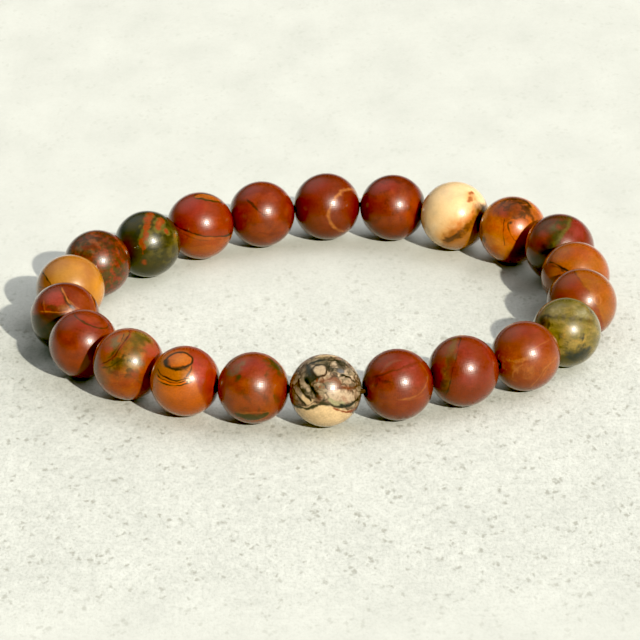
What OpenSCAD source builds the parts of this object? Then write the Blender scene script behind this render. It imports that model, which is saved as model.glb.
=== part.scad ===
/* [Loop] */
// Clear gap between two neighbouring beads, in millimetres
bead_gap = 0.05; // [0.05:0.05:0.3]
// Length of the oval that the loop lies in, over its width
oval_ratio = 1.145; // [1:0.005:1.3]
// Direction of the oval's long axis, in degrees from +X
oval_turn = 6; // [-45:1:45]
// Direction of the first bead from the oval's middle, in degrees from +X
first_bead_angle = -91; // [-180:1:180]

/* [Beads] */
// Size of every bead over the size in the table below
bead_scale = 1; // [0.9:0.05:1.2]
// Diameter of the drilled bore, in millimetres
bore_diameter = 1; // [0.9:0.1:1.2]
// Depth of the flat ground on each end of a bead round its bore, in millimetres
end_flat = 0.07; // [0.05:0.01:0.2]
// Width of the broken edge round each end of the bore, in millimetres
bore_rim = 0.15; // [0.05:0.05:0.3]

/* [Thread] */
// Diameter of the elastic thread, in millimetres
thread_diameter = 0.6; // [0.4:0.1:0.6]

/* [Hidden] */
// The beads, counterclockwise from the front one: diameter, how far the bead
// lies outside the oval, and its stone
beads = [
    [8.15,  0.1, "cream web"],
    [8.05,  0.0, "red"],
    [8.05, -0.4, "red brown"],
    [7.95,  0.7, "red"],
    [7.95,  0.6, "olive"],
    [8.15, -0.2, "orange brown"],
    [8.05, -0.8, "orange"],
    [8.25,  0.3, "burgundy"],
    [8.05, -0.2, "amber"],
    [8.25, -0.3, "cream"],
    [7.95,  0.6, "burgundy"],
    [8.05,  0.7, "burgundy"],
    [7.95,  0.0, "red"],
    [8.05, -0.4, "red"],
    [7.95, -1.0, "dark green"],
    [7.95,  0.2, "red brown"],
    [8.05,  0.3, "tan"],
    [8.05,  0.4, "red brown"],
    [7.95,  0.4, "red"],
    [8.15, -0.3, "olive brown"],
    [7.95, -0.2, "orange brown"],
    [8.05, -0.5, "red brown"]
];
// Colour of each stone, from 0 to 1: red, green, blue
stones = [
    ["cream web",    [0.62, 0.52, 0.43]],
    ["cream",        [0.85, 0.72, 0.52]],
    ["tan",          [0.76, 0.50, 0.28]],
    ["amber",        [0.74, 0.40, 0.12]],
    ["orange",       [0.68, 0.32, 0.16]],
    ["orange brown", [0.62, 0.29, 0.15]],
    ["red",          [0.58, 0.20, 0.13]],
    ["red brown",    [0.50, 0.20, 0.14]],
    ["burgundy",     [0.42, 0.12, 0.09]],
    ["olive",        [0.50, 0.44, 0.24]],
    ["olive brown",  [0.46, 0.34, 0.18]],
    ["dark green",   [0.22, 0.22, 0.12]]
];
thread_colour = [0.10, 0.07, 0.06];
thread_inset = 0.3;  // depth inside a bead's end at which the thread bends
thread_sides = 8;
solve_steps = 40;    // halvings that find the loop's size
walk_tries = 8;      // corrections of the step from one bead to the next
settle_rounds = 8;   // times that the bores turn towards their neighbours
round_facets = 96;

count = len(beads);
function diameter(i) = beads[i][0] * bead_scale;
function sway(i) = beads[i][1];
function stone(i) = beads[i][2];
function stone_colour(i) = stones[search([stone(i)], stones)[0]][1];
function after(i) = (i + 1) % count;
function before(i) = (i + count - 1) % count;
function unit(v) = v / norm(v);

// A bead's place in plan, at an angle round an oval of the given mean radius
stretch = (oval_ratio - 1) / (oval_ratio + 1);
function oval_radius(angle, mean) = mean * (1 + stretch * cos(2 * (angle - oval_turn)));
function spot(i, angle, mean) =
    (oval_radius(angle, mean) + sway(i)) * [cos(angle), sin(angle)];

// The angle at which bead j stands the right distance from bead i
function pitch(i, j) = (diameter(i) + diameter(j)) / 2 + bead_gap;
function next_angle(i, j, from, mean, guess, tries) =
    tries == 0 ? guess :
    let (miss = pitch(i, j) - norm(spot(j, guess, mean) - from))
    next_angle(i, j, from, mean, guess + miss / mean * 180 / PI, tries - 1);
function angle_after(i, angle, mean) =
    next_angle(i, after(i), spot(i, angle, mean), mean,
        angle + pitch(i, after(i)) / mean * 180 / PI, walk_tries);

// A walk round the loop, whose last angle closes it where the mean radius is right
function walk(mean) =
    [for (i = 0, a = first_bead_angle; i <= count; a = angle_after(i % count, a, mean), i = i + 1) a];
function closing_mean(low, high, steps) =
    let (middle = (low + high) / 2)
    steps == 0 ? middle :
    walk(middle)[count] - first_bead_angle > 360
        ? closing_mean(middle, high, steps - 1)
        : closing_mean(low, middle, steps - 1);
function total(list, i = 0) = i == len(list) ? 0 : list[i] + total(list, i + 1);
round_mean = total([for (i = [0:count - 1]) pitch(i, after(i))]) / (2 * PI);
mean_radius = closing_mean(0.9 * round_mean, 1.1 * round_mean, solve_steps);

// Each bead rests on the surface at z = 0, and the loop's box is centred on the origin
angles = walk(mean_radius);
plan = [for (i = [0:count - 1]) spot(i, angles[i], mean_radius)];
function box_middle(axis) =
    (min([for (i = [0:count - 1]) plan[i][axis] - diameter(i) / 2])
    + max([for (i = [0:count - 1]) plan[i][axis] + diameter(i) / 2])) / 2;
centres = [for (i = [0:count - 1])
    [plan[i].x - box_middle(0), plan[i].y - box_middle(1), diameter(i) / 2]];

// Each bore starts out along the line between its neighbours, then turns until
// it meets theirs on the same side of the line of centres, so the thread has no kink
chords = [for (i = [0:count - 1]) unit(centres[after(i)] - centres[i])];
function mirrored(v, about) = 2 * (v * about) * about - v;
function turned(axes, i) =
    unit(2 * axes[i] + mirrored(axes[before(i)], chords[before(i)]) + mirrored(axes[after(i)], chords[i]));
function settled(axes, rounds) =
    rounds == 0 ? axes :
    settled([for (i = [0:count - 1]) turned(axes, i)], rounds - 1);
bore_axes = settled([for (i = [0:count - 1]) unit(chords[before(i)] + chords[i])], settle_rounds);

// The thread bends just inside both ends of each bead
function bend_reach(i) = diameter(i) / 2 - thread_inset;
thread_path = [for (i = [0:count - 1], side = [-1, 1])
    centres[i] + side * bend_reach(i) * bore_axes[i]];
bends = len(thread_path);
function along(i) =
    unit(unit(thread_path[(i + 1) % bends] - thread_path[i])
    + unit(thread_path[i] - thread_path[(i + bends - 1) % bends]));
function thread_ring(i) =
    let (outwards = unit(cross(along(i), [0, 0, 1])), up = cross(outwards, along(i)))
    [for (k = [0:thread_sides - 1])
        let (a = 360 * k / thread_sides)
        thread_path[i] + thread_diameter / 2 * (cos(a) * outwards + sin(a) * up)];

function bead_name(i) = str("bead_", i < 9 ? "0" : "", i + 1);

// The broken edge where the bore meets the bead's flat end
module bore_mouth(d) {
    height = 4 * bore_rim;
    start = d / 2 - end_flat - bore_rim;
    translate([0, 0, start])
        cylinder(h = height, d1 = bore_diameter, d2 = bore_diameter + 2 * height, $fn = round_facets);
}

module drilled_bead(d) {
    difference() {
        intersection() {
            sphere(d = d, $fn = round_facets);
            cylinder(h = d - 2 * end_flat, d = 2 * d, center = true, $fn = round_facets);
        }
        cylinder(h = 2 * d, d = bore_diameter, center = true, $fn = round_facets);
        bore_mouth(d);
        mirror([0, 0, 1]) bore_mouth(d);
    }
}

module bead(i) {
    axis = bore_axes[i];
    color(stone_colour(i))
        translate(centres[i])
            rotate([0, acos(axis.z), atan2(axis.y, axis.x)])
                drilled_bead(diameter(i));
}

module elastic_thread() {
    points = [for (i = [0:bends - 1]) each thread_ring(i)];
    function corner(i, k) = (i % bends) * thread_sides + k % thread_sides;
    faces = [for (i = [0:bends - 1], k = [0:thread_sides - 1])
        each [[corner(i, k), corner(i, k + 1), corner(i + 1, k + 1)],
            [corner(i, k), corner(i + 1, k + 1), corner(i + 1, k)]]];
    color(thread_colour) polyhedron(points, faces);
}

for (i = [0:count - 1]) bead(i);
elastic_thread();
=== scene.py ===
import math
import bpy
from mathutils import Matrix, Vector


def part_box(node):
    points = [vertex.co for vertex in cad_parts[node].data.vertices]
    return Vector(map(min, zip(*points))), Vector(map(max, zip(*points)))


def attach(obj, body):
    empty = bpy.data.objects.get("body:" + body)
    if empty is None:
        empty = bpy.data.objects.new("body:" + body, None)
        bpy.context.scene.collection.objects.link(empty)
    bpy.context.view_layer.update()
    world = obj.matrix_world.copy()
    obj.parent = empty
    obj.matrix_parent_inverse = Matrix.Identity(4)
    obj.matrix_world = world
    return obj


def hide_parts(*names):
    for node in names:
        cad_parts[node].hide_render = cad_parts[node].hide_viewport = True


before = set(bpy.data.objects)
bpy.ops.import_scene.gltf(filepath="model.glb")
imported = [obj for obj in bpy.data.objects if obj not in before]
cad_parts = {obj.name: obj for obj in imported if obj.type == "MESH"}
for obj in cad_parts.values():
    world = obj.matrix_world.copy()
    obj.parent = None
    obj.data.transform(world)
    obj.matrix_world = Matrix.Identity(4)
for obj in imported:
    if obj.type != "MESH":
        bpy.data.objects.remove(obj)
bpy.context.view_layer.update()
print("frame loaded:", len(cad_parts), "nodes")

mm = 0.001


def shown(red, green, blue):
    # a colour as it looks on a screen, 0 to 255, as light values with alpha
    parts = [part / 255 for part in (red, green, blue)]
    return [p / 12.92 if p < 0.04045 else ((p + 0.055) / 1.055) ** 2.4 for p in parts] + [1.0]


def deselectAll():
    if bpy.context.object and bpy.context.object.mode != "OBJECT":
        bpy.ops.object.mode_set(mode="OBJECT")
    bpy.ops.object.select_all(action="DESELECT")


cameraSet = {
    "lens": 289.5,          # in millimetres, on a 36 mm sensor
    "distance": 600 * mm,   # from the middle of the loop, on the floor
    "elevation": 23.91,     # degrees over the floor
    "aimSide": -0.045,      # degrees to the right of the middle
    "aimUp": 0.0745,
    "roll": -1.657,
}


def addCamera(settings):
    elevation = math.radians(settings["elevation"])
    side = math.radians(settings["aimSide"])
    tilt = math.radians(settings["aimUp"]) - elevation
    roll = math.radians(settings["roll"])
    place = Vector((0, -math.cos(elevation), math.sin(elevation))) * settings["distance"]
    ahead = Vector((math.sin(side) * math.cos(tilt), math.cos(side) * math.cos(tilt), math.sin(tilt)))
    level = ahead.cross(Vector((0, 0, 1))).normalized()
    upright = level.cross(ahead)
    right = level * math.cos(roll) + upright * math.sin(roll)
    up = upright * math.cos(roll) - level * math.sin(roll)
    data = bpy.data.cameras.new("camera")
    data.lens = settings["lens"]
    data.clip_start = 10 * mm
    camera = bpy.data.objects.new("camera", data)
    bpy.context.scene.collection.objects.link(camera)
    turn = Matrix((right, up, -ahead)).transposed().to_4x4()
    camera.matrix_world = Matrix.Translation(place) @ turn
    bpy.context.scene.camera = camera
    return place, up


lightSet = {
    "keySide": 27.6,       # degrees from the front towards the right
    "keyHeight": 29.8,     # degrees over the floor
    "keyWidth": 1.4,       # degrees that the light spans
    "keyPower": 6.15,
    "keyColour": (255, 251, 233),
    "keyMirrored": True,   # whether polished stone reflects the light itself
    "fillSide": 118.0,     # the same for a wide soft light from behind on the right
    "fillHeight": 36.0,
    "fillWidth": 70.0,
    "fillPower": 3.35,
    "fillColour": (253, 255, 255),
    "fillMirrored": False,
    "roomColour": (254, 255, 256),
    "roomDim": 0.1,        # light of the walls round the floor
    "roomBright": 0.44,    # light of the ceiling
    "wallTop": 0.35,       # height at which it starts to brighten, 1 straight up
    "ceiling": 0.95,       # height at which it is as bright as it gets
    "horizon": 0.45,       # more light low down, which outlines the stones
    "horizonTop": 0.3,
    "glowSide": -131.0,    # a soft glow high up behind on the left, in degrees as above
    "glowHeight": 49.5,
    "glowPower": 0.55,
    "glowEdge": 0.78,      # cosine of the angle from its middle at which it starts
    "glowFull": 0.97,
}


def directionTo(side, height):
    # from the middle towards a light
    side, height = math.radians(side), math.radians(height)
    return Vector((math.sin(side) * math.cos(height), -math.cos(side) * math.cos(height), math.sin(height)))


def addSun(name, side, height, width, power, colour, mirrored):
    towards = directionTo(side, height)
    data = bpy.data.lights.new(name, "SUN")
    data.energy = power
    data.angle = math.radians(width)
    data.color = shown(*colour)[:3]
    light = bpy.data.objects.new(name, data)
    light.rotation_euler = towards.to_track_quat("Z", "Y").to_euler()
    light.visible_glossy = mirrored
    bpy.context.scene.collection.objects.link(light)


def addLights(settings):
    parts = ("Side", "Height", "Width", "Power", "Colour", "Mirrored")
    for name in ("key", "fill"):
        addSun(name + "Light", *(settings[name + part] for part in parts))


eye, eyeUp = addCamera(cameraSet)
addLights(lightSet)
blackLevel = (0.027, 0.021, 0.03)  # light of the red, green and blue that shows as black
view = bpy.context.scene.view_settings
view.view_transform = "Standard"
view.use_curve_mapping = True
view.curve_mapping.black_level = blackLevel
view.curve_mapping.update()
print("camera and lights set")


class Wire:
    # a socket whose arithmetic adds Math nodes
    def __init__(self, shader, socket):
        self.shader = shader
        self.socket = socket

    def math(self, operation, *values):
        return self.shader.add("ShaderNodeMath", {"operation": operation}, dict(enumerate(values)))

    def __add__(self, other):
        return self.math("ADD", self, other)

    def __sub__(self, other):
        return self.math("SUBTRACT", self, other)

    def __rsub__(self, other):
        return self.math("SUBTRACT", other, self)

    def __mul__(self, other):
        return self.math("MULTIPLY", self, other)

    def __abs__(self):
        return self.math("ABSOLUTE", self)

    __radd__ = __add__
    __rmul__ = __mul__


class Shader:
    # a material and its nodes
    def __init__(self, name):
        self.material = bpy.data.materials.new(name)
        self.material.use_nodes = True
        self.tree = self.material.node_tree
        self.surface = self.tree.nodes["Principled BSDF"].inputs

    def add(self, kind, settings, sockets, output=0):
        node = self.tree.nodes.new(kind)
        for name, value in settings.items():
            setattr(node, name, value)
        for name, value in sockets.items():
            self.feed(node.inputs[name], value)
        return Wire(self, node.outputs[output])

    def feed(self, socket, value):
        if isinstance(value, Wire):
            self.tree.links.new(value.socket, socket)
        else:
            socket.default_value = value

    def vector(self, operation, *values, output=0):
        return self.add("ShaderNodeVectorMath", {"operation": operation}, dict(enumerate(values)), output)

    def mix(self, share, under, over, blend="MIX"):
        settings = {"data_type": "RGBA", "blend_type": blend}
        return self.add("ShaderNodeMix", settings, {0: share, 6: under, 7: over}, 2)

    def fade(self, value, low, high):
        # 0 under low and 1 over high, smooth between them
        sockets = {"Value": value, "From Min": low, "From Max": high}
        return self.add("ShaderNodeMapRange", {"interpolation_type": "SMOOTHSTEP", "clamp": False}, sockets)

    def lit(self, colour, light):
        # the colour made lighter or darker
        grey = self.add("ShaderNodeCombineColor", {}, {0: light, 1: light, 2: light})
        return self.mix(1.0, colour, grey, "MULTIPLY")

    def noise(self, place, scale, detail=2.0, output=0):
        return self.add("ShaderNodeTexNoise", {}, {"Vector": place, "Scale": scale, "Detail": detail}, output)

    def pieces(self, place, scale, feature="F1", output=0):
        sockets = {"Vector": place, "Scale": scale}
        return self.add("ShaderNodeTexVoronoi", {"feature": feature}, sockets, output)

    def relief(self, height):
        # small heights of the surface, in metres
        bump = self.add("ShaderNodeBump", {}, {"Height": height, "Distance": 1.0, "Strength": 1.0})
        self.feed(self.surface["Normal"], bump)


class Room(Shader):
    # the light that comes from all round: a bright horizon, dim walls and a brighter ceiling
    def __init__(self, settings):
        world = bpy.data.worlds.new("room")
        world.use_nodes = True
        self.tree = world.node_tree
        background = self.tree.nodes["Background"].inputs
        direction = self.add("ShaderNodeTexCoord", {}, {}, "Generated")
        height = self.add("ShaderNodeSeparateXYZ", {}, {"Vector": direction}, "Z")
        overhead = self.fade(height, settings["wallTop"], settings["ceiling"])
        rise = settings["roomBright"] - settings["roomDim"]
        glowing = directionTo(settings["glowSide"], settings["glowHeight"])
        nearness = self.vector("DOT_PRODUCT", direction, glowing, output="Value")
        glow = self.fade(nearness, settings["glowEdge"], settings["glowFull"]) * settings["glowPower"]
        low = (1 - self.fade(height, 0.0, settings["horizonTop"])) * settings["horizon"]
        self.feed(background["Strength"], overhead * rise + glow + low + settings["roomDim"])
        background["Color"].default_value = shown(*settings["roomColour"])
        bpy.context.scene.world = world


Room(lightSet)

# stone colours in plain light, 0 to 255; plum and pink also serve for painted reflection high on many beads,
# brown and dark brown for painted shadow on two
stoneColours = {
    "cream": (245, 208, 156),
    "paleBeige": (196, 170, 140),
    "pinkBeige": (150, 116, 90),
    "paleGreen": (160, 150, 112),
    "tan": (218, 142, 38),
    "greyTan": (200, 138, 64),
    "gold": (172, 98, 40),
    "amber": (194, 90, 4),
    "yellowBrown": (150, 82, 10),
    "ochre": (158, 88, 16),
    "terracotta": (162, 78, 14),
    "rust": (140, 56, 12),
    "brightRed": (150, 54, 14),
    "red": (126, 38, 8),
    "plum": (136, 38, 30),
    "pink": (162, 58, 48),
    "burgundy": (114, 33, 5),
    "deepRed": (74, 14, 4),
    "brown": (84, 42, 16),
    "darkBrown": (40, 20, 8),
    "black": (16, 13, 10),
    "blueBlack": (40, 40, 38),
    "blueGrey": (110, 108, 112),
    "olive": (108, 94, 32),
    "ochreOlive": (146, 120, 56),
    "greyOlive": (104, 90, 60),
    "green": (66, 54, 14),
    "darkOlive": (50, 38, 10),
    "darkGreen": (50, 44, 18),
}


def onBead(spot):
    # a place on the bead: (right, up) in bead radii on the face that the camera sees, or any direction
    if len(spot) == 3:
        return Vector(spot).normalized()
    right, up = spot
    return Vector((right, up, math.sqrt(max(0.0, 1 - right * right - up * up))))


stoneNoise = {
    "wobbleScale": 1.8,   # waves in a bead's radius, of the slow bends in all marks
    "wobble": 0.1,        # how far they bend, in bead radii, where a recipe doesn't say
    "trembleScale": 7.0,  # the same for the small bends
    "tremble": 0.016,
    "tornScale": 2.2,     # the same for the cracks and the pieces between them
    "torn": 0.3,
    "patchyScale": 3.0,   # gaps in a patchy mark
    "raggedScale": 5.0,   # teeth of a ragged edge
    "swellScale": 4.0,    # thick and thin parts of a vein
    "pickScale": 2.0,     # parts of the stone that have flecks
}


class Stone(Shader):
    # one bead's stone. Its marks are painted one over the other
    def __init__(self, name, middle, radius, recipe):
        super().__init__(name)
        self.seed = recipe["seed"]
        self.marks = 0
        self.rough = recipe.get("rough", 1.0)
        self.tone = recipe.get("tone", 1.0)
        towards = (eye - middle).normalized()
        up = (eyeUp - towards * eyeUp.dot(towards)).normalized()
        turn = Matrix((up.cross(towards), up, towards)).transposed().to_euler()
        place = self.add("ShaderNodeTexCoord", {}, {}, "Object")
        sockets = {"Vector": place, "Location": middle, "Rotation": turn, "Scale": (radius,) * 3}
        self.place = self.add("ShaderNodeMapping", {"vector_type": "TEXTURE"}, sockets)
        for bend in ("wobble", "tremble"):
            self.place = self.bent(stoneNoise[bend + "Scale"], recipe.get(bend, stoneNoise[bend]))
        self.torn = self.bent(stoneNoise["tornScale"], stoneNoise["torn"])
        self.colour = shown(*stoneColours[recipe["stone"]])
        for kind, colour, strength, first, details in recipe["marks"]:
            self.paint(kind, colour, strength, *first, **details)

    def moved(self, mark=0):
        # steps so uneven that no two stones or marks share their noise
        return (self.seed * 7.3 + mark * 2.1, self.seed * 3.7 - mark * 4.3, self.seed * 5.9)

    def fresh(self, stretch=(1, 1, 1)):
        # the places, moved for the next noise
        self.marks += 1
        return self.vector("MULTIPLY_ADD", self.place, stretch, self.moved(self.marks))

    def bent(self, scale, amount):
        # the places, shifted here and there
        shift = self.noise(self.fresh(), scale, output="Color")
        centred = self.vector("SUBTRACT", shift, (0.5, 0.5, 0.5))
        return self.vector("MULTIPLY_ADD", centred, (2 * amount,) * 3, self.place)

    def uneven(self, use, amount):
        # a noise from minus to plus half the amount
        return (self.noise(self.fresh(), stoneNoise[use + "Scale"]) - 0.5) * amount

    def distance(self, spot):
        return self.vector("DISTANCE", self.place, spot, output="Value")

    def paint(self, kind, colour, strength, *first, near=None, patchy=0.0, **details):
        # one more mark, faded away from a spot, and in places where a noise is low
        share = getattr(self, kind)(*first, **details)
        if near:
            spot, reach = near
            share = share * (1 - self.fade(self.distance(onBead(spot)), 0.6 * reach, reach))
        if patchy:
            gaps = self.noise(self.fresh(), stoneNoise["patchyScale"])
            share = share * self.fade(gaps, 0.5 * patchy, 0.5 * patchy + 0.2)
        self.colour = self.mix(share * strength, self.colour, shown(*stoneColours[colour]))

    def cloud(self, scale, level=0.5, soft=0.08, detail=5.0, stretch=(1, 1, 1)):
        cloud = self.noise(self.fresh(stretch), scale, detail)
        return self.fade(cloud, level - soft, level + soft)

    def wisps(self, scale, width, detail=2.0):
        # thin lines where a noise passes its middle
        cloud = self.noise(self.fresh(), scale, detail)
        return 1 - self.fade(abs(cloud - 0.5), 0.1 * width, width)

    def outside(self, wide, spots, soft, ragged):
        # how far each place lies outside a spot, or outside an oval from one spot to another
        first, last = onBead(spots[0]), onBead(spots[-1])
        away = self.distance(first)
        size = wide
        if len(spots) > 1:
            away = (away + self.distance(last)) * 0.5
            middle = (first + last).normalized()
            edge = (middle + middle.cross(first - last).normalized() * wide).normalized()
            size = ((edge - first).length + (edge - last).length) / 2
            soft = soft * min(1.0, 1.5 * wide / size)
        if ragged:
            away = away + self.uneven("ragged", ragged)
        return away - size, soft

    def patch(self, wide, *spots, soft=0.05, ragged=0.1):
        outside, soft = self.outside(wide, spots, soft, ragged)
        return 1 - self.fade(outside, -soft, soft)

    def rim(self, wide, *spots, width=0.03, ragged=0.1):
        # a line round the patch of the same size
        outside, width = self.outside(wide, spots, width, ragged)
        return 1 - self.fade(abs(outside), 0.2 * width, width)

    def cut(self, through):
        # how far each place lies from the flat crack through three places
        first, middle, last = (onBead(spot) for spot in through)
        normal = (middle - first).cross(last - first).normalized()
        depth = normal.dot(first)
        height = self.vector("DOT_PRODUCT", self.place, normal, output="Value") - depth
        return height * (1 / math.sqrt(max(0.1, 1 - depth * depth))), normal, depth

    def vein(self, width, *through):
        # a thin curve through three places, from the first to the last, that swells and thins
        away = abs(self.cut(through)[0]) - self.uneven("swell", 2 * width)
        line = 1 - self.fade(away, 0.1 * width, width)
        first, top, last = (onBead(spot) for spot in through)
        middle = ((first + last) / 2 + top) / 2
        reach = (first - middle).length
        return line * (1 - self.fade(self.distance(middle), 0.85 * reach, 1.1 * reach))

    def side(self, soft, *through, towards, ragged=0.0):
        # all of the bead past the flat crack through three places
        height, normal, depth = self.cut(through)
        if ragged:
            height = height + self.uneven("ragged", ragged)
        share = self.fade(height, -soft, soft)
        return 1 - share if normal.dot(onBead(towards)) < depth else share

    def broken(self, stretch):
        # the same torn places for every net of cracks and for the pieces between the cracks
        return self.vector("MULTIPLY_ADD", self.torn, stretch, self.moved())

    def cells(self, scale, level=0.5, stretch=(1, 1, 1)):
        # some of the pieces between the cracks of a web of the same scale
        return self.fade(self.pieces(self.broken(stretch), scale, output="Color"), level - 0.02, level + 0.02)

    def web(self, scale, width=0.06, vary=0.2, stretch=(1, 1, 1)):
        # a net of cracks whose lines swell and fade
        place = self.broken(stretch)
        swell = (self.noise(place, 1.7 * scale) - 0.5) * vary
        return 1 - self.fade(self.pieces(place, scale, "DISTANCE_TO_EDGE") - swell, 0.0, width)

    def flecks(self, scale, size=0.2, level=0.5):
        # small separate spots, in the parts that a wide noise picks
        place = self.fresh()
        chosen = self.fade(self.noise(place, stoneNoise["pickScale"]), level - 0.05, level + 0.05)
        return (1 - self.fade(self.pieces(place, scale), 0.6 * size, size)) * chosen


beadFinish = {
    "tone": 0.58,          # light of the polished stone beside its colour above
    "mottle": 0.26,        # how far soft mottling lightens and darkens the stone
    "mottleScale": 4.0,    # mottles in a bead's radius
    "grain": 0.44,         # the same for the fine grain
    "grainScale": 22.0,
    "roughness": 0.37,
    "roughnessSpread": 0.14,
    "index": 1.5,
    "coatIndex": 1.2,
    "coatRoughness": 0.13,
    "ripple": 0.012 * mm,  # depth of the polish's unevenness
    "rippleScale": 6.0,
    "scratch": 0.0035 * mm,
    "scratchScale": 28.0,
    "scratchRun": (1, 0.3, 1),
    "rimStart": 0.4,       # 0 where the stone faces the eye, 1 at its outline
    "rimEnd": 0.8,
    "rimPolish": 0.2,      # how much less rough the polish is at the outline
    "rimDim": 0.25,        # how much weaker its coat is there
}

# A mark has a colour, a strength, a size, its places and more by name. The size of clouds, wisps, cells,
# webs and flecks is the scale of their noise. That of a patch or rim is half its width, of a vein its
# width and of a side the softness of its edge. Scales, detail and stretch are plain numbers, and all
# else is in hundredths, of the bead's radius or of the whole.
noiseMarks = ("cloud", "wisps", "cells", "web", "flecks")
drawnMarks = ("patch", "rim", "vein", "side")


def hundredths(value):
    if isinstance(value, tuple):
        return tuple(hundredths(part) for part in value)
    return value / 100


def markWriter(kind):
    def write(colour, strength, across, *places, **details):
        for name in set(details) - {"detail", "stretch"}:
            details[name] = hundredths(details[name])
        across = across if kind in noiseMarks else hundredths(across)
        return kind, colour, hundredths(strength), (across, *hundredths(places)), details
    return write


cloud, wisps, cells, web, flecks = (markWriter(kind) for kind in noiseMarks)
patch, rim, vein, side = (markWriter(kind) for kind in drawnMarks)

redGround = [
    cloud("plum", 50, 1.1, level=56, soft=15, detail=3),
    cloud("burgundy", 50, 0.8, soft=15, detail=3),
    cloud("rust", 60, 1.6, level=52, soft=14, detail=3),
    wisps("burgundy", 35, 2.2, width=2.5, patchy=80),
]
burgundyGround = [
    cloud("red", 50, 1.2, soft=20, detail=3),
    cloud("deepRed", 30, 0.9, level=60, soft=15, detail=3),
]
backRun = ((-70, 40, -60), (-10, 30, -100), (60, -30, -70))  # a vein's places over the back of a bead
backMarks = [
    vein("gold", 100, 3.5, *backRun, patchy=70),
    vein("darkBrown", 100, 3, (-40, -70, -60), (20, -10, -100), (30, 80, -60), patchy=80),
    cloud("brown", 60, 1.5, level=55, detail=3, near=((0, 10, -100), 110)),
]

beadRecipes = {}
beadRecipes["bead_01"] = dict(stone="pinkBeige", seed=1, wobble=0.12, tremble=0.04, marks=[
    cells("paleBeige", 100, 2.6, level=40, stretch=(1, 1.5, 1)),
    cells("greyOlive", 50, 2.6, level=64, stretch=(1, 1.5, 1)),
    cloud("brown", 65, 3, level=52, soft=10),
    cloud("greyOlive", 70, 3.6, soft=10, near=((10, 60), 75)),
    cloud("paleBeige", 50, 5, level=56, soft=6, detail=4),
    web("darkBrown", 75, 2.6, width=11, stretch=(1, 1.5, 1)),
    web("darkBrown", 65, 4.4, width=7, vary=30, stretch=(1, 1.5, 1), patchy=90),
    cloud("black", 80, 3.8, level=49, soft=6, detail=6, near=((36, 64), 50)),
    cloud("black", 85, 3.2, detail=6, near=((-42, 20), 42)),
    patch("cream", 70, 10, (-30, 92), (30, 93), soft=6, ragged=20),
    patch("rust", 50, 10, (-93, 10), (-88, -28), soft=10, ragged=20),
    vein("black", 100, 6.5, (-54, 62), (-10, 83), (40, 78), patchy=30),
    patch("blueBlack", 90, 10, (-44, 62), (-38, 36), soft=8, ragged=20),
    rim("darkBrown", 100, 18, (-28, 54), (-6, 56), width=6, ragged=20),
    patch("paleBeige", 100, 14, (-26, 54), (-8, 56)),
    patch("blueGrey", 100, 6, (38, 56), (50, 55), soft=3, ragged=6),
    patch("paleBeige", 100, 5, (22, 75), (30, 70), soft=3, ragged=6),
    patch("paleBeige", 100, 8, (52, 50), (74, 30), soft=4, ragged=15),
    vein("black", 100, 4.5, (42, 46), (60, 32), (84, 20), patchy=30),
    flecks("rust", 100, 8, level=40, size=40, near=((-8, 24), 22)),
    patch("paleBeige", 100, 6, (-60, 24), (-42, -4), soft=4),
    patch("paleBeige", 100, 8, (-80, 4), (-56, -20), soft=4),
    patch("cream", 80, 7, (-68, -16), (-28, -32), soft=4, ragged=15),
    vein("black", 100, 8.5, (-58, 36), (-32, -4), (-2, -26), patchy=20),
    vein("darkBrown", 100, 4.5, (-76, 30), (-60, -2), (-38, -30), patchy=20),
    vein("darkBrown", 100, 4.5, (-90, 18), (-76, -10), (-50, -40), patchy=20),
    patch("paleBeige", 100, 16, (10, -10), (78, -20), ragged=15),
    cloud("brown", 50, 4.4, level=54, near=((50, 0), 50)),
    vein("brown", 100, 6, (20, 8), (52, 5), (92, 14), patchy=30),
    cloud("rust", 40, 4, level=54, soft=10, near=((30, -5), 70)),
    side("cream", 85, 2.5, (-80, -47), (0, -42), (72, -60), towards=(0, -90), ragged=10),
    patch("paleGreen", 100, 6, (0, -27), (52, -38), soft=3, ragged=8),
    vein("darkOlive", 100, 7, (-95, -30), (-55, -47), (-8, -34), patchy=20),
    vein("darkOlive", 100, 6, (-12, -30), (22, -44), (62, -42), patchy=20),
    vein("black", 100, 10, (36, -42), (66, -38), (95, -12), patchy=25),
    vein("rust", 100, 5.5, (20, -48), (55, -57), (86, -46), patchy=30),
])
beadRecipes["bead_02"] = dict(stone="red", seed=2, marks=redGround + backMarks + [
    # painted reflection: the plum patch high up and the pink patch beside the highlight stand for sky light
    # mirrored in the polish
    patch("plum", 90, 34, (-40, 40), (40, 60), soft=20),
    patch("pink", 60, 20, (30, 45), (55, 10), soft=15, ragged=30),
    cloud("burgundy", 60, 2.4, near=((-20, 30), 80)),
    patch("brown", 80, 36, (-97, 10), soft=25),
    vein("paleBeige", 7, 7, (-50, 30), (-25, 58), (14, 70)),
    patch("greyOlive", 16, 6, (-35, 46), (-12, 66), soft=6),
    vein("burgundy", 90, 5, (-70, 18), (5, 42), (66, 64)),
    vein("darkBrown", 55, 2.6, (-72, 16), (-30, 30), (14, 46), patchy=50),
    cloud("darkBrown", 70, 4, level=55, soft=5, detail=4, near=((-42, 8), 36)),
    vein("darkBrown", 60, 2.6, (-66, 6), (-35, 6), (-5, -10), patchy=50),
    vein("gold", 50, 3.4, (60, 62), (80, 18), (66, -20)),
    vein("gold", 60, 4.5, (78, -2), (52, -30), (6, -42), patchy=40),
    vein("gold", 35, 2.8, (72, -30), (40, -42), (-10, -38), patchy=50),
    cloud("rust", 60, 2.4, near=((-20, -50), 70)),
    cloud("burgundy", 35, 5, level=52),
])
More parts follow.
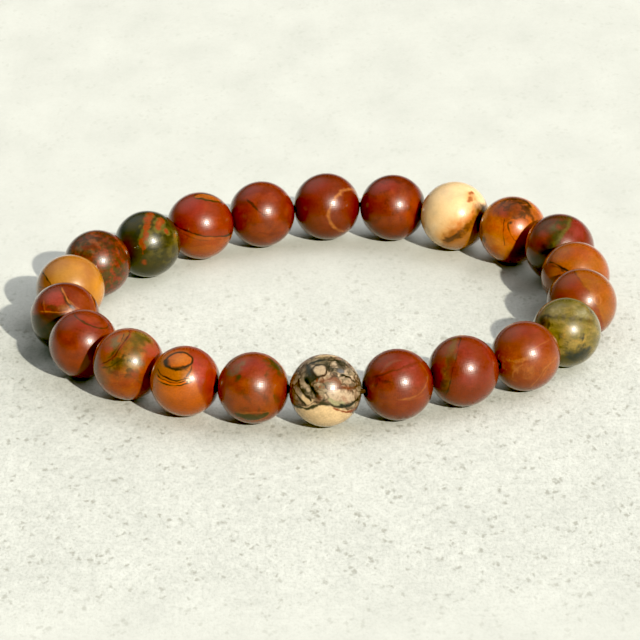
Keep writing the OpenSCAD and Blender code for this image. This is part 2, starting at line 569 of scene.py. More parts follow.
beadRecipes["bead_03"] = dict(stone="red", seed=3, marks=redGround + backMarks + [
    vein("olive", 55, 19, (-24, 92), (-34, 30), (-58, -60)),
    cloud("green", 60, 2.6, level=48, near=((-38, 30), 45)),
    cloud("greyOlive", 50, 3.4, level=54, detail=4, near=((-36, 36), 36)),
    patch("darkOlive", 60, 10, (-46, -25), (-54, -66), soft=10, ragged=25),
    side("red", 90, 2, (-6, 90), (-18, 23), (-46, -66), towards=(50, 0), near=((30, 10), 120)),
    vein("darkBrown", 85, 3, (-6, 95), (-20, 23), (-52, -72)),
    cloud("plum", 60, 2, detail=3, near=((40, 20), 90)),
    cloud("burgundy", 60, 2.6, near=((20, 0), 90)),
    patch("brown", 80, 25, (-90, -10), soft=20),
    # painted reflection: the pink line along the upper right outline stands for sky mirrored in the polish
    vein("pink", 50, 5, (50, 80), (76, 50), (86, 10)),
])
beadRecipes["bead_04"] = dict(stone="rust", seed=4, marks=redGround + backMarks + [
    patch("terracotta", 45, 36, (-60, 10), (30, -50), soft=25, ragged=30),
    patch("terracotta", 70, 36, (70, -30), soft=25, ragged=30),
    # painted reflection: the plum patch at the top and the pink patch beside the highlight stand for sky
    # light mirrored in the polish
    patch("plum", 60, 20, (-40, 66), (30, 70), soft=20, ragged=30),
    patch("pink", 40, 20, (35, 5), (45, 40), soft=15),
    cloud("rust", 70, 3, soft=10, near=((0, -20), 90)),
    cloud("gold", 60, 3.4, level=57, near=((-30, -30), 70)),
    vein("gold", 70, 4.5, (-56, -8), (-20, -14), (6, -8)),
    vein("gold", 60, 4.5, (-40, -60), (-28, -35), (-10, -22)),
    vein("gold", 80, 4, (14, -88), (50, -46), (92, 2)),
    vein("gold", 60, 2.4, (26, -84), (48, -58), (66, -36)),
    vein("gold", 50, 2.2, (20, 22), (45, 30), (75, 50)),
    vein("paleBeige", 60, 3, (-74, 4), (-77, -34), (-60, -74), patchy=70),
    flecks("paleBeige", 60, 18, level=35, size=30, near=((-63, -42), 22)),
])
beadRecipes["bead_05"] = dict(stone="olive", seed=5, tone=1.15, wobble=0.14, marks=[
    cloud("greyOlive", 100, 1.6, soft=14, stretch=(0.7, 1.8, 1)),
    cloud("ochreOlive", 70, 2.2, level=52, soft=12, stretch=(0.8, 1.6, 1)),
    patch("paleGreen", 60, 16, (-36, 62), (-10, 56), soft=14, ragged=20),
    patch("paleGreen", 60, 18, (30, 60), (56, 50), soft=14, ragged=20),
    patch("ochreOlive", 100, 22, (-50, 16), (0, 6), soft=14, ragged=30),
    patch("ochreOlive", 90, 20, (55, 0), (85, 5), soft=14, ragged=30),
    patch("ochreOlive", 90, 18, (10, -50), (70, -20), soft=14, ragged=30),
    cloud("ochreOlive", 70, 3, level=54, stretch=(0.8, 1.6, 1), near=((30, -20), 75)),
    cloud("tan", 25, 2.2, level=60, detail=3, stretch=(0.8, 1.8, 1), near=((30, -30), 60)),
    vein("greyOlive", 100, 14, (-40, 42), (10, 42), (50, 36), patchy=40),
    vein("darkOlive", 45, 9, (-30, 42), (30, 36), (85, 22), patchy=50),
    patch("brown", 50, 8, (50, 28), (80, 24), soft=8, ragged=20),
    cloud("green", 50, 3.4, level=57, soft=10, detail=6, stretch=(0.8, 1.8, 1)),
    cloud("olive", 50, 7, detail=6),
    patch("blueBlack", 85, 6, (40, -2), (46, -26), soft=6, ragged=30),
    patch("darkOlive", 80, 13, (-20, -15), (0, -42), soft=12, ragged=50),
    cloud("ochreOlive", 70, 4, soft=6, near=((0, -40), 35)),
    patch("green", 90, 34, (-10, -80), (60, -62), soft=14, ragged=30),
    patch("blueBlack", 95, 19, (6, -72), (66, -48), soft=10, ragged=40),
    patch("black", 70, 14, (15, -80), (50, -64), soft=12, ragged=30),
    patch("brown", 90, 17, (-66, 30), soft=12, ragged=30),
    cloud("darkBrown", 80, 5, soft=6, detail=4, near=((-60, 28), 36)),
    patch("rust", 30, 16, (-72, 60), soft=10),
    web("darkOlive", 70, 1.6, width=4, near=((10, 0, -100), 120)),
])
beadRecipes["bead_06"] = dict(stone="ochre", seed=6, marks=backMarks + [
    cloud("terracotta", 80, 1.5, level=46, soft=15),
    cloud("rust", 50, 2.4, level=54, soft=10),
    side("rust", 100, 3, (-20, 90), (12, 50), (40, 0), towards=(-60, 20), ragged=6),
    # painted reflection: the plum patch high on the left stands for the soft glow mirrored in the polish
    patch("plum", 70, 20, (-30, 55), (-5, 35), soft=20, ragged=20),
    patch("red", 60, 40, (-75, 30), soft=30),
    vein("yellowBrown", 80, 5, (-24, 94), (14, 50), (44, -4), patchy=30),
    vein("brown", 50, 3, (-28, 92), (10, 48), (38, 0), patchy=40),
    patch("brown", 60, 25, (-90, 10), soft=20),
    cloud("yellowBrown", 50, 4, level=56, near=((50, 30), 70)),
    rim("gold", 100, 12, (46, 10), ragged=2),
])
beadRecipes["bead_07"] = dict(stone="terracotta", seed=7, tone=1.12, marks=backMarks + [
    cloud("yellowBrown", 60, 1.8, soft=12),
    cloud("brightRed", 60, 1.6, level=54, soft=12),
    patch("gold", 25, 50, (70, 0), (0, -50), soft=30, ragged=30),
    patch("red", 90, 42, (-90, 25), soft=20, ragged=20),
    patch("yellowBrown", 80, 15, (-60, 10), soft=10),
    vein("darkBrown", 100, 3.5, (-78, 42), (-50, 30), (-12, 10), patchy=30),
    vein("brown", 80, 3, (-70, 30), (-45, 22), (-10, 6), patchy=30),
    patch("black", 100, 4, (-46, 28), (-18, 12), soft=3, ragged=3),
    patch("black", 90, 3, (-42, 18), (-26, 8), soft=2, ragged=3),
])
beadRecipes["bead_08"] = dict(stone="plum", seed=8, marks=backMarks + [
    cloud("burgundy", 80, 1.3, level=48, soft=12),
    patch("brown", 90, 34, (-70, 50), (0, 40), soft=15, ragged=20),
    # painted reflection: the pink patch high on the left stands for the soft glow mirrored in the polish
    patch("pink", 50, 16, (-50, 36), soft=12, ragged=20),
    patch("darkOlive", 80, 16, (0, 92), (-50, 72), soft=12, ragged=30),
    patch("green", 100, 17, (16, 90), (-10, 16), soft=10, ragged=25),
    patch("darkOlive", 90, 14, (-10, 20), (-50, -10), soft=12, ragged=20),
    patch("pink", 50, 7, (0, 62), soft=8, ragged=20),
    patch("greyOlive", 70, 10, (-25, 60), (-12, 55), soft=10, ragged=20),
    side("burgundy", 100, 2, (30, 88), (15, 42), (-16, 4), towards=(60, 30), near=((60, 35), 85)),
    cloud("plum", 80, 1.8, level=48, detail=3, near=((60, 50), 60)),
    vein("green", 70, 12, (29, 94), (11, 45), (-22, 4)),
    vein("olive", 55, 9, (30, 94), (12, 44), (-22, 2)),
    patch("black", 85, 8, (-60, -12), (-20, 6), soft=8),
    patch("darkBrown", 80, 40, (-80, -30), (-30, -60), soft=20),
    patch("pink", 40, 12, (50, 45), soft=10),
])
beadRecipes["bead_09"] = dict(stone="amber", seed=9, wobble=0.12, marks=[
    cloud("terracotta", 70, 1.4, level=54, soft=12),
    cloud("tan", 40, 2, level=58, soft=10, detail=3),
    patch("rust", 95, 34, (-50, 55), (40, 70), soft=14, ragged=30),
    patch("red", 70, 20, (-30, 50), (10, 62), soft=15, ragged=20),
    # painted reflection: the pink patch high on the left stands for the soft glow mirrored in the polish
    patch("pink", 50, 12, (-25, 50), soft=10, ragged=20),
    cloud("brown", 65, 2.6, soft=10, detail=6, near=((20, 75), 62)),
    cloud("darkBrown", 80, 3.6, level=54, soft=7, detail=6, near=((34, 60), 42)),
    wisps("darkBrown", 60, 2.4, width=5, detail=4, near=((10, 70), 70), patchy=60),
    patch("terracotta", 90, 14, (60, 50), (78, 40), soft=8, ragged=20),
    vein("darkBrown", 80, 6, (-30, 78), (16, 90), (56, 70), patchy=40),
    vein("brown", 80, 9, (20, 56), (44, 50), (68, 24), patchy=30),
    vein("darkBrown", 85, 3, (-22, 34), (-27, 0), (-20, -58)),
    vein("darkBrown", 80, 3, (-10, 26), (-8, -6), (6, -30)),
    patch("darkBrown", 90, 5, (-4, 19), soft=4),
    patch("tan", 50, 16, (-50, -10), (-40, -40), soft=14, ragged=20),
    patch("brown", 90, 14, (-92, 35), (-86, -35), soft=12, ragged=30),
    patch("terracotta", 70, 50, (30, -85), soft=20),
    # painted shadow: the brown patch low down stands for the shadow that bead_08 casts on this bead
    patch("brown", 70, 30, (0, -70), (50, -60), soft=12),
    web("darkBrown", 80, 1.5, width=4, near=((10, 0, -100), 120)),
])
beadRecipes["bead_10"] = dict(stone="cream", seed=10, tone=1.1, rough=0.3, marks=[
    cloud("tan", 20, 1.1, level=60, soft=12, detail=3),
    cloud("paleBeige", 30, 2.4, level=56, soft=10, detail=3),
    patch("tan", 60, 20, (47, 52), soft=15, ragged=20),
    patch("terracotta", 90, 7.5, (54, 66), (38, 42), soft=6, ragged=25),
    patch("tan", 85, 36, (-40, -66), (70, 10), soft=20, ragged=15),
    patch("amber", 85, 26, (-10, -60), (60, -10), soft=20, ragged=30),
    patch("ochre", 90, 20, (10, -95), (80, -40), soft=16, ragged=30),
    patch("tan", 70, 14, (10, -92), (50, -75), soft=12, ragged=20),
    side("ochre", 80, 10, (-50, -84), (20, -42), (86, 36), towards=(70, -60), ragged=25),
    # painted shadow: the brown and dark brown patches along the right edge stand for the shade there
    patch("brown", 95, 24, (80, 30), (70, -40), soft=14, ragged=30),
    patch("darkBrown", 85, 20, (86, 20), (70, -36), soft=14, ragged=20),
    patch("terracotta", 70, 8, (50, 10), (70, 34), soft=6, ragged=20),
    patch("yellowBrown", 90, 14, (-36, -72), (50, -20), soft=16, ragged=20),
    patch("brown", 90, 5, (-32, -72), (40, -40), soft=10, ragged=12),
    patch("darkBrown", 60, 2, (-20, -68), (20, -52), ragged=8),
    patch("brown", 80, 6, (20, -46), (54, -10), soft=10, ragged=20),
    vein("tan", 100, 12, *backRun, patchy=70),
    cloud("ochre", 60, 1.5, level=55, detail=3, near=((20, 10, -100), 110)),
])
beadRecipes["bead_11"] = dict(stone="burgundy", seed=11, tone=1.1, marks=burgundyGround + backMarks + [
    # painted reflection: the plum patch high on the left stands for the soft glow mirrored in the polish
    patch("plum", 90, 45, (-35, 50), soft=25),
    patch("red", 70, 50, (-30, -10), (40, -10), soft=30, ragged=30),
    cloud("rust", 50, 3, level=52, soft=10, near=((10, 0), 90)),
    patch("brightRed", 60, 40, (55, -10), soft=25, ragged=30),
    cloud("deepRed", 50, 3.4, level=56),
])
beadRecipes["bead_12"] = dict(stone="burgundy", seed=12, wobble=0.07, marks=burgundyGround + backMarks + [
    # painted reflection: the plum patch high on the left stands for the soft glow mirrored in the polish
    patch("plum", 80, 42, (-35, 50), soft=25),
    patch("red", 70, 42, (60, -10), soft=20),
    patch("rust", 40, 30, (-20, -30), soft=30),
    vein("gold", 100, 9, (94, 36), (66, 52), (26, 24)),
    vein("gold", 90, 6.8, (34, 34), (7, -20), (32, -72)),
    vein("gold", 90, 6.8, (16, -58), (42, -76), (76, -66)),
    cloud("burgundy", 40, 3.4, level=52),
])
beadRecipes["bead_13"] = dict(stone="red", seed=13, marks=redGround + backMarks + [
    # painted reflection: the plum patch high on the left stands for the soft glow mirrored in the polish
    patch("plum", 90, 48, (-35, 50), soft=25),
    patch("rust", 60, 60, (10, -40), soft=30),
    cloud("burgundy", 70, 2.4, soft=10, detail=6),
    cloud("brightRed", 50, 3.2, level=54),
    vein("darkBrown", 75, 3.6, (-44, 44), (-20, 18), (12, -4)),
    vein("burgundy", 60, 7, (-20, -50), (30, -62), (80, -40)),
])
beadRecipes["bead_14"] = dict(stone="rust", seed=14, tone=1.2, wobble=0.06, marks=backMarks + [
    cloud("terracotta", 50, 1.8, stretch=(0.6, 2.4, 1)),
    cloud("brightRed", 60, 2.4, level=56, stretch=(0.6, 2.4, 1)),
    side("red", 100, 2.5, (-82, 10), (10, -30), (98, -16), towards=(0, 80)),
    cloud("burgundy", 60, 1.6, soft=12, detail=6, near=((10, 50), 85)),
    cloud("brightRed", 50, 3, level=54, near=((10, 40), 80)),
    # painted reflection: the plum patch high on the left stands for the soft glow mirrored in the polish
    patch("plum", 90, 42, (-30, 50), soft=25),
    vein("darkBrown", 90, 3.8, (-84, 12), (10, -31), (98, -16)),
    vein("brown", 50, 3, (-70, -10), (10, -44), (80, -34), patchy=70),
    patch("terracotta", 100, 18, (-12, 86), (60, 74), soft=4, ragged=6),
    patch("gold", 80, 7, (5, 90), (40, 86), soft=6),
    rim("darkOlive", 100, 20, (-12, 86), (60, 74), width=4, ragged=6, patchy=40),
    vein("brown", 80, 3, (5, 80), (35, 72), (60, 78)),
])
beadRecipes["bead_15"] = dict(stone="darkGreen", seed=15, wobble=0.08, marks=[
    cloud("darkOlive", 60, 1.5, soft=15),
    patch("blueBlack", 60, 50, (-60, 40), soft=20, ragged=20),
    cloud("green", 60, 3, soft=10),
    cloud("olive", 40, 6, level=52, near=((55, 0), 85)),
    patch("olive", 70, 16, (10, 92), (-8, -10), soft=6, ragged=15),
    patch("brightRed", 90, 13, (8, 94), (-4, 40), soft=4),
    patch("rust", 100, 6, (-3, 50), (-11, -30), soft=4),
    patch("rust", 100, 7, (-9, -50), (-8, -62), soft=4),
    patch("olive", 80, 15, (43, 78), (28, 36), soft=4),
    patch("rust", 100, 11, (43, 78), (30, 42), soft=3),
    patch("terracotta", 80, 6, (41, 74), (33, 52), soft=3),
    patch("darkGreen", 80, 3, (22, 82), (10, 40), soft=3),
    patch("olive", 80, 13, (57, 36), soft=3),
    patch("rust", 100, 8.5, (57, 37), soft=3),
    patch("ochre", 80, 6, (83, 27), (81, 18), soft=4),
    patch("ochreOlive", 50, 12, (82, 42), (86, 0), soft=10, ragged=30),
    patch("brown", 90, 30, (-70, -10), soft=20),
    vein("brightRed", 100, 12, *backRun, patchy=80),
    cloud("olive", 70, 2, level=55, detail=3, near=((0, 10, -100), 110)),
])
beadRecipes["bead_16"] = dict(stone="brown", seed=16, tone=1.25, marks=[
    cloud("burgundy", 80, 1.8, level=52, soft=12),
    side("red", 70, 12, (40, 90), (50, 30), (30, -40), towards=(90, 10)),
    cloud("greyOlive", 50, 3.4, level=54, soft=10, near=((-40, 50), 80)),
    cloud("rust", 60, 5, level=54, soft=6, detail=6),
    cloud("darkBrown", 70, 3.4, level=52, detail=6),
    vein("darkBrown", 80, 12, (-70, 50), (-10, 80), (40, 50), patchy=30),
    vein("darkBrown", 70, 10, (-50, 30), (-10, 56), (20, 30), patchy=40),
    cloud("red", 40, 7, level=52, soft=6, detail=4),
    cloud("darkOlive", 60, 7, level=54, soft=6, detail=4),
    cloud("green", 80, 6, detail=3, near=((50, -40), 70)),
    flecks("brightRed", 40, 9, level=40, size=35, near=((50, -40), 70)),
    patch("blueBlack", 90, 3.5, (63, 43), (66, 27), soft=2, ragged=3),
])
beadRecipes["bead_17"] = dict(stone="tan", seed=17, tone=0.88, rough=0.5, marks=[
    cloud("greyTan", 80, 1.1, level=48, soft=12, detail=3),
    cloud("gold", 50, 1.4, level=52, soft=10, detail=3),
    patch("greyTan", 80, 35, (-10, 45), soft=20),
    patch("gold", 55, 26, (-50, 75), (50, 75), soft=20, ragged=20),
    patch("gold", 50, 12, (45, 55), (75, 20), soft=10),
    patch("tan", 80, 40, (90, 0), soft=20),
    side("ochre", 100, 3, (-88, 56), (-64, 28), (-45, -10), towards=(-95, 0)),
    vein("black", 100, 3, (-86, 56), (-64, 28), (-44, -2)),
    vein("darkBrown", 70, 3, (-98, 12), (-75, 4), (-50, 0)),
    web("brown", 80, 1.4, width=3, near=((10, 0, -100), 120)),
])
beadRecipes["bead_18"] = dict(stone="red", seed=18, wobble=0.05, marks=redGround + [
    side("darkBrown", 90, 5, (-90, 6), (-30, 8), (30, 10), towards=(-30, -80)),
    cloud("darkOlive", 80, 1.8, detail=3, near=((-40, -40), 80)),
    cloud("brown", 70, 2.4, level=52, near=((-60, -20), 50)),
    patch("burgundy", 80, 20, (-50, 75), (50, 70), soft=15, ragged=20),
    # painted reflection: the pink patch high on the left stands for the soft glow mirrored in the polish
    patch("pink", 75, 24, (-42, 56), (-14, 46), soft=10),
    patch("brown", 80, 7, (-50, 26), (10, 28)),
    patch("gold", 70, 6, (-16, 24), (10, 30), soft=6),
    patch("darkBrown", 90, 5, (0, 58), (16, 34), soft=4, ragged=6),
    vein("gold", 100, 3, (-72, 14), (-30, 14), (16, 17)),
    vein("brown", 80, 4, (-12, 84), (0, 52), (18, 30)),
    vein("gold", 100, 2.8, (-8, 84), (5, 52), (24, 30)),
    vein("gold", 80, 2.8, (10, 50), (26, 36), (46, 22)),
    vein("gold", 80, 2.4, (-58, 50), (-60, 30), (-54, 13)),
    vein("darkBrown", 80, 3, (-64, 44), (-65, 26), (-58, 10)),
    patch("gold", 90, 5, (12, 22), (40, 24), soft=4),
    patch("blueGrey", 100, 4.5, (16, 34), (30, 24), soft=3, ragged=4),
    vein("darkBrown", 80, 2, (14, 40), (22, 26), (30, 16)),
    vein("black", 100, 5, (80, 55), (90, 35), (94, 5)),
    vein("gold", 80, 3.5, (70, 66), (83, 40), (86, 10)),
    flecks("gold", 80, 9, level=45, near=((50, 40), 40)),
    vein("gold", 100, 3.5, *backRun, patchy=70),
])
beadRecipes["bead_19"] = dict(stone="red", seed=19, wobble=0.05, marks=redGround + backMarks + [
    patch("brightRed", 60, 60, (-40, -30), soft=30),
    # painted reflection: the plum patch over the upper part stands for the soft glow mirrored in the polish
    patch("plum", 90, 36, (-40, 60), (30, 40), soft=20, ragged=20),
    patch("brightRed", 50, 24, (24, 76), soft=4),
    cloud("burgundy", 60, 3, soft=10, detail=6),
    cloud("brightRed", 40, 2.6, level=54, soft=10),
    vein("darkOlive", 80, 3.8, (-25, 88), (-2, 60), (36, 48)),
    vein("darkOlive", 80, 3.8, (20, 51), (50, 46), (76, 60)),
    vein("burgundy", 50, 5, (-30, 50), (20, 30), (60, 40), patchy=50),
])
beadRecipes["bead_20"] = dict(stone="rust", seed=20, tone=1.25, wobble=0.08, marks=[
    cloud("terracotta", 70, 1.8, soft=12),
    cloud("red", 50, 2.4, level=54, soft=10),
    patch("olive", 85, 46, (50, 75), (-50, -10), soft=20, ragged=40),
    cloud("red", 50, 2.4, level=52, soft=14, detail=6, near=((-10, 10), 100)),
    patch("ochreOlive", 50, 16, (0, 10), (20, -10), soft=14, ragged=30),
    cloud("green", 70, 3.4, level=53, soft=10, detail=6, near=((10, 20), 80)),
    patch("red", 90, 30, (85, 50), (60, -5), soft=12, ragged=30),
    patch("pink", 40, 22, (62, 40), soft=15, ragged=30),
    patch("green", 80, 13, (14, 78), (56, 64), soft=10, ragged=35),
    patch("greyOlive", 80, 13, (-30, 76), (-40, 44), soft=6, ragged=20),
    patch("terracotta", 70, 6, (-28, 80), (-20, 62), ragged=15),
    # painted reflection: the pink patch high on the left stands for the soft glow mirrored in the polish
    patch("pink", 50, 10, (-62, 30), (-50, 44), soft=8, ragged=20),
    patch("brown", 80, 30, (-95, 0), soft=20),
    patch("greyOlive", 50, 20, (-75, -40), soft=20, ragged=30),
    vein("plum", 60, 6, (4, 96), (-20, 46), (-80, -6)),
    vein("darkBrown", 85, 3, (2, 94), (-21, 46), (-78, -4)),
    vein("darkOlive", 80, 2.6, (-14, 86), (-27, 50), (-56, 20)),
    vein("darkOlive", 70, 3.4, (-74, -12), (-40, -2), (-14, 22), patchy=30),
    cloud("darkOlive", 70, 4.4, level=54, soft=5, near=((-20, -5), 50)),
    cloud("red", 50, 2.4, soft=10, near=((-10, -60), 70)),
    wisps("ochre", 30, 1.8, width=3, near=((10, -60), 70), patchy=60),
    vein("brown", 50, 3.5, (-30, -30), (10, -36), (50, -70), patchy=40),
    vein("gold", 100, 3.5, *backRun, patchy=70),
])
beadRecipes["bead_21"] = dict(stone="terracotta", seed=21, tone=1.38, wobble=0.05, marks=backMarks + [
    side("red", 100, 5, (20, 30), (40, -30), (76, -90), towards=(90, 0), ragged=10),
    patch("rust", 60, 42, (-30, -70), (50, -60), soft=30, ragged=20),
    patch("red", 80, 24, (-40, 90), (60, 70), soft=10),
    patch("pink", 45, 17, (26, 56), (50, 16), soft=12, ragged=30),
    cloud("plum", 80, 3, level=52, near=((50, 30), 50)),
    vein("brightRed", 50, 12, (80, 50), (82, 0), (70, -50)),
    side("yellowBrown", 100, 2, (-95, 5), (-40, -14), (20, -9), towards=(-40, 50), near=((-45, 25), 75)),
    vein("amber", 80, 7, (-80, 12), (-40, -6), (0, -4)),
    patch("brown", 100, 34, (-48, 58), (8, 58), soft=4, ragged=8),
    patch("terracotta", 100, 28, (-44, 60), (8, 60), soft=2, ragged=6),
    patch("gold", 70, 16, (-24, 60), (0, 62), soft=10),
    rim("darkBrown", 100, 30, (-45, 58), (8, 58), width=4.5),
    patch("darkBrown", 100, 8, (-58, 60), (-42, 38), soft=4, ragged=6),
    patch("darkBrown", 100, 4, (-40, 37), (6, 30), soft=3, ragged=6),
    vein("brown", 80, 3.5, (-36, 44), (-12, 36), (12, 42)),
    patch("black", 100, 2, (-18, 30), (0, 28), soft=3),
    vein("black", 100, 2.4, (-78, 36), (-42, 5), (6, 6), patchy=20),
    vein("black", 100, 2.2, (-78, 18), (-42, -3), (6, 0), patchy=20),
    vein("black", 100, 2.4, (-80, 6), (-30, -13), (12, -6), patchy=20),
    vein("darkBrown", 80, 4, (0, 10), (10, 24), (18, 50), patchy=30),
    patch("paleBeige", 90, 5, (5, -2), (11, 0), soft=3),
    flecks("black", 90, 12, level=30, size=40, near=((6, 0), 16)),
])
beadRecipes["bead_22"] = dict(stone="rust", seed=22, tone=0.95, marks=backMarks + [
    cloud("red", 70, 1.3, soft=15),
    cloud("terracotta", 60, 1.6, level=54, soft=12),
    # painted reflection: the plum patches high up and on the left stand for the soft glow mirrored in the
    # polish
    patch("plum", 80, 36, (5, 60), soft=20, ragged=20),
    patch("plum", 80, 25, (-55, 60), (-25, 40), soft=15, ragged=30),
    patch("greyOlive", 60, 13, (-70, 40), (-25, 66), soft=12, ragged=50),
    patch("green", 100, 19, (36, 80), (78, 32), soft=8, ragged=40),
    patch("red", 60, 8, (50, 52), soft=8, ragged=20),
    patch("green", 80, 6, (44, 46), (36, 20), soft=6, ragged=25),
    patch("green", 100, 9, (56, -18), (74, -36), soft=4, ragged=6),
    patch("green", 100, 5, (-50, 16), (-34, 36)),
    patch("green", 100, 17, (-52, -72), (40, -74), soft=4, ragged=8),
    rim("gold", 50, 20, (-52, -72), (40, -74), ragged=8),
    cloud("brown", 50, 4, level=54, near=((0, -30), 70)),
    cloud("brightRed", 40, 3.4, level=55),
])


def finishStone(stone, finish):
    mottle = stone.noise(stone.fresh(), finish["mottleScale"], detail=4.0) - 0.5
    grain = stone.noise(stone.fresh(), finish["grainScale"], detail=4.0) - 0.5
    rough = 2 * stone.rough
    light = 1 + mottle * (rough * finish["mottle"]) + grain * (rough * finish["grain"])
    light = light * (finish["tone"] * stone.tone)
    stone.feed(stone.surface["Base Color"], stone.lit(stone.colour, light))
    facing = stone.add("ShaderNodeLayerWeight", {}, {"Blend": 0.5}, "Facing")
    rim = stone.fade(facing, finish["rimStart"], finish["rimEnd"])
    polish = finish["roughness"] - rim * finish["rimPolish"]
    stone.feed(stone.surface["Roughness"], polish + grain * (2 * finish["roughnessSpread"]))
    stone.feed(stone.surface["Coat Weight"], 1 - rim * finish["rimDim"])
    ripple = stone.noise(stone.fresh(), finish["rippleScale"], detail=4.0) * finish["ripple"]
    scratch = stone.noise(stone.fresh(finish["scratchRun"]), finish["scratchScale"]) * finish["scratch"]
    stone.relief(ripple + scratch)
    stone.surface["IOR"].default_value = finish["index"]
    stone.surface["Coat IOR"].default_value = finish["coatIndex"]
    stone.surface["Coat Roughness"].default_value = finish["coatRoughness"]


beadShape = {
    "segments": 96,
    "rings": 54,
    "flat": 0.9826,       # height of the flat ends over the middle, in bead radii
    "bore": 0.125,        # radius of the bore
    "boreCuts": 6,
    "rimWidth": 0.03,     # broken edge round the bore
    "rimCuts": 3,
    "edgeWidth": 0.012,   # softened edge round the flat
    "edgeCuts": 2,
    "outOfRound": 0.002,  # how far the stone lies under the round, in bead radii
    "roundnessScale": 4 * mm,
    "slack": 0.002,       # how far from its place an edge is still found, in bead radii
    "boreReach": 0.985,   # points of a CAD bead nearer its middle lie at its bore, in bead radii
}


def pickOnly(piece):
    deselectAll()
    bpy.context.view_layer.objects.active = piece
    piece.select_set(True)


def selectPoints(piece, chosen):
    # selects the piece's points that pass the test, and the edges and faces between them
    deselectAll()
    bpy.context.view_layer.objects.active = piece
    bpy.ops.object.mode_set(mode="EDIT")
    bpy.ops.mesh.select_mode(type="VERT")
    bpy.ops.mesh.select_all(action="DESELECT")
    bpy.ops.object.mode_set(mode="OBJECT")
    for point in piece.data.vertices:
        point.select = chosen(point.co)
    bpy.ops.object.mode_set(mode="EDIT")


def modelBead(shape):
    # one drilled bead of radius 1 with its bore along Z, for every bead to be copied from
    deselectAll()
    bpy.ops.mesh.primitive_uv_sphere_add(segments=shape["segments"], ring_count=shape["rings"], radius=1)
    bead = bpy.context.object
    bead.name = "bead_pattern"
    flat, bore = shape["flat"], shape["bore"]
    flatWidth = math.sqrt(1 - flat * flat)
    bpy.ops.object.mode_set(mode="EDIT")
    for end in (flat, -flat):
        bpy.ops.mesh.select_all(action="SELECT")
        bpy.ops.mesh.bisect(plane_co=(0, 0, end), plane_no=(0, 0, end), clear_outer=True)
        bpy.ops.mesh.extrude_edges_move()
        bpy.ops.transform.resize(value=(bore / flatWidth, bore / flatWidth, 1))
    selectPoints(bead, lambda place: math.hypot(place.x, place.y) < 1.01 * bore)
    bpy.ops.mesh.bridge_edge_loops(number_cuts=shape["boreCuts"])
    bpy.ops.mesh.select_all(action="SELECT")
    bpy.ops.mesh.normals_make_consistent(inside=False)
    for reach, edge in ((bore, "rim"), (flatWidth, "edge")):
        selectPoints(bead, lambda place: abs(place.z) > flat - shape["slack"] / 2
                     and abs(math.hypot(place.x, place.y) - reach) < shape["slack"])
        bpy.ops.mesh.select_mode(type="EDGE")
        bpy.ops.mesh.bevel(offset=shape[edge + "Width"], segments=shape[edge + "Cuts"])
    bpy.ops.object.mode_set(mode="OBJECT")
    bpy.ops.object.shade_smooth()
    return bead


def measureBead(node):
    # a CAD bead's middle, radius and the direction of its bore
    low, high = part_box(node)
    middle = (low + high) / 2
    reach = [point.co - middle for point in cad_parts[node].data.vertices]
    radius = max(place.length for place in reach)
    inner = [place for place in reach if place.length < beadShape["boreReach"] * radius]
    mouths = [place for place in inner if place.dot(inner[0]) > 0]
    bore = sum(mouths, Vector()).normalized()
    return middle, radius, bore


roundness = bpy.data.textures.new("roundness", "CLOUDS")
roundness.noise_scale = beadShape["roundnessScale"]


def placeBead(pattern, node, recipe):
    middle, radius, bore = measureBead(node)
    piece = pattern.copy()
    piece.data = pattern.data.copy()
    piece.name = "polished_" + node
    bpy.context.scene.collection.objects.link(piece)
    turn = bore.to_track_quat("Z", "Y").to_matrix().to_4x4()
    piece.data.transform(Matrix.Translation(middle) @ turn @ Matrix.Scale(radius, 4))
    displace = piece.modifiers.new("roundness", "DISPLACE")
    displace.texture = roundness
    displace.mid_level = 1
    displace.strength = beadShape["outOfRound"] * radius
    pickOnly(piece)
    bpy.ops.object.modifier_apply(modifier=displace.name)
    stone = Stone(node + "_stone", middle, radius, recipe)
    finishStone(stone, beadFinish)
    piece.data.materials.clear()
    piece.data.materials.append(stone.material)
    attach(piece, "root")
    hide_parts(node)
    return middle, radius, bore


beadPattern = modelBead(beadShape)
placed = []
for node, recipe in sorted(beadRecipes.items()):
    placed.append(placeBead(beadPattern, node, recipe))
bpy.data.objects.remove(beadPattern)
print("beads modelled:", len(placed))

threadSet = {
    "radius": 0.29 * mm,
    "inset": 0.3 * mm,          # depth inside a bead's end at which the thread bends
    "colour": (46, 28, 20),
    "fibre": (72, 48, 36),
    "fibreScale": 7000.0,       # fibres in a metre
    "fibreStart": 0.45,         # noise at which a fibre starts to show
    "fibreFull": 0.65,
    "depth": 0.02 * mm,
    "roughness": 0.9,
    "index": 1.3,
    "cuts": 6,                  # pieces of the curve from one bend to the next
    "roundCuts": 3,
}


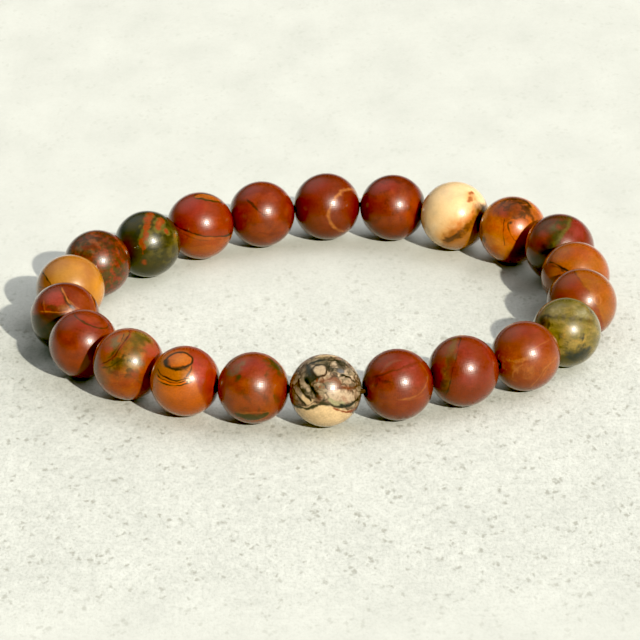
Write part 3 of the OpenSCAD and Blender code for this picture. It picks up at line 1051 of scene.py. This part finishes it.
def addThread(beads, settings):
    # a closed curve through every bore, made a mesh
    points = []
    for index, (middle, radius, bore) in enumerate(beads):
        ahead = beads[(index + 1) % len(beads)][0] - middle
        along = bore if bore.dot(ahead) > 0 else -bore
        points += [middle + along * (side * (radius - settings["inset"])) for side in (-1, 1)]
    path = bpy.data.curves.new("thread_path", "CURVE")
    path.dimensions = "3D"
    path.bevel_depth = settings["radius"]
    path.bevel_resolution = settings["roundCuts"]
    path.resolution_u = settings["cuts"]
    spline = path.splines.new("BEZIER")
    spline.bezier_points.add(len(points) - 1)
    for knot, point in zip(spline.bezier_points, points):
        knot.co = point
        knot.handle_left_type = "AUTO"
        knot.handle_right_type = "AUTO"
    spline.use_cyclic_u = True
    thread = bpy.data.objects.new("round_thread", path)
    bpy.context.scene.collection.objects.link(thread)
    pickOnly(thread)
    bpy.ops.object.convert(target="MESH")
    bpy.ops.object.shade_smooth()
    shader = Shader("elastic")
    place = shader.add("ShaderNodeTexCoord", {}, {}, "Object")
    fibres = shader.noise(place, settings["fibreScale"], detail=3.0)
    pale = shader.fade(fibres, settings["fibreStart"], settings["fibreFull"])
    colour = shader.mix(pale, shown(*settings["colour"]), shown(*settings["fibre"]))
    shader.feed(shader.surface["Base Color"], colour)
    shader.relief(fibres * settings["depth"])
    shader.surface["Roughness"].default_value = settings["roughness"]
    shader.surface["IOR"].default_value = settings["index"]
    thread.data.materials.append(shader.material)
    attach(thread, "root")
    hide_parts("elastic_thread")


addThread(placed, threadSet)
print("thread added")

floorSet = {
    "size": 3.0,
    "colour": (181, 182, 177),
    "shade": (168, 169, 164),           # between the grains
    "pit": (138, 137, 129),
    "stretch": 0.6,                     # the trowel's strokes run away from the front
    "calmBack": (-12 * mm, 30 * mm),    # the plaster gets smoother from here to there at the back
    "calmFront": (-60 * mm, -84 * mm),  # and at the front
    "calm": 0.8,
    "grainScale": 3000.0,               # grains in a metre
    "grainShown": (0.3, 0.55),          # noise from full shade to none
    "pitScale": 1100.0,
    "pitSize": (0.12, 0.46),            # from a pit's bottom to its rim
    "pitChosen": (0.5, 0.58),           # noise from no pits to pits
    "ragged": 1.0 * mm,                 # how far a pit's outline strays
    "pitDepth": 0.75,
    "mottleScale": 1100.0,
    "mottle": 0.42,                     # how far soft mottling lightens and darkens the floor
    "smudgeScale": 150.0,
    "smudge": 0.24,
    "depth": 0.04 * mm,
    "roughness": 0.8,
}


def addFloor(settings):
    deselectAll()
    bpy.ops.mesh.primitive_plane_add(size=settings["size"])
    floor = bpy.context.object
    floor.name = "floor"
    shader = Shader("floor_plaster")
    flatPlace = shader.add("ShaderNodeTexCoord", {}, {}, "Object")
    depth = shader.add("ShaderNodeSeparateXYZ", {}, {"Vector": flatPlace}, "Y")
    calm = shader.fade(depth, *settings["calmBack"]) + shader.fade(depth, *settings["calmFront"])
    lively = 1 - calm * settings["calm"]
    place = shader.vector("MULTIPLY", flatPlace, (1, settings["stretch"], 1))
    grain = shader.noise(place, settings["grainScale"], detail=3.0)
    shaded = (1 - shader.fade(grain, *settings["grainShown"])) * lively
    colour = shader.mix(shaded, shown(*settings["colour"]), shown(*settings["shade"]))
    mottle = (shader.noise(place, settings["mottleScale"], detail=3.0) - 0.5) * lively
    smudge = shader.noise(place, settings["smudgeScale"], detail=3.0) - 0.5
    colour = shader.lit(colour, 1 + mottle * settings["mottle"] + smudge * settings["smudge"])
    stray = shader.noise(place, 1.5 * settings["pitScale"], output="Color")
    torn = shader.vector("MULTIPLY_ADD", stray, (settings["ragged"],) * 3, place)
    pits = shader.pieces(torn, settings["pitScale"])
    chosen = shader.fade(shader.noise(place, 0.35 * settings["pitScale"]), *settings["pitChosen"])
    pit = (1 - shader.fade(pits, *settings["pitSize"])) * chosen * lively * settings["pitDepth"]
    shader.feed(shader.surface["Base Color"], shader.mix(pit, colour, shown(*settings["pit"])))
    shader.relief((grain - pit * 0.5) * lively * settings["depth"])
    shader.surface["Roughness"].default_value = settings["roughness"]
    floor.data.materials.append(shader.material)


addFloor(floorSet)
print("floor added")
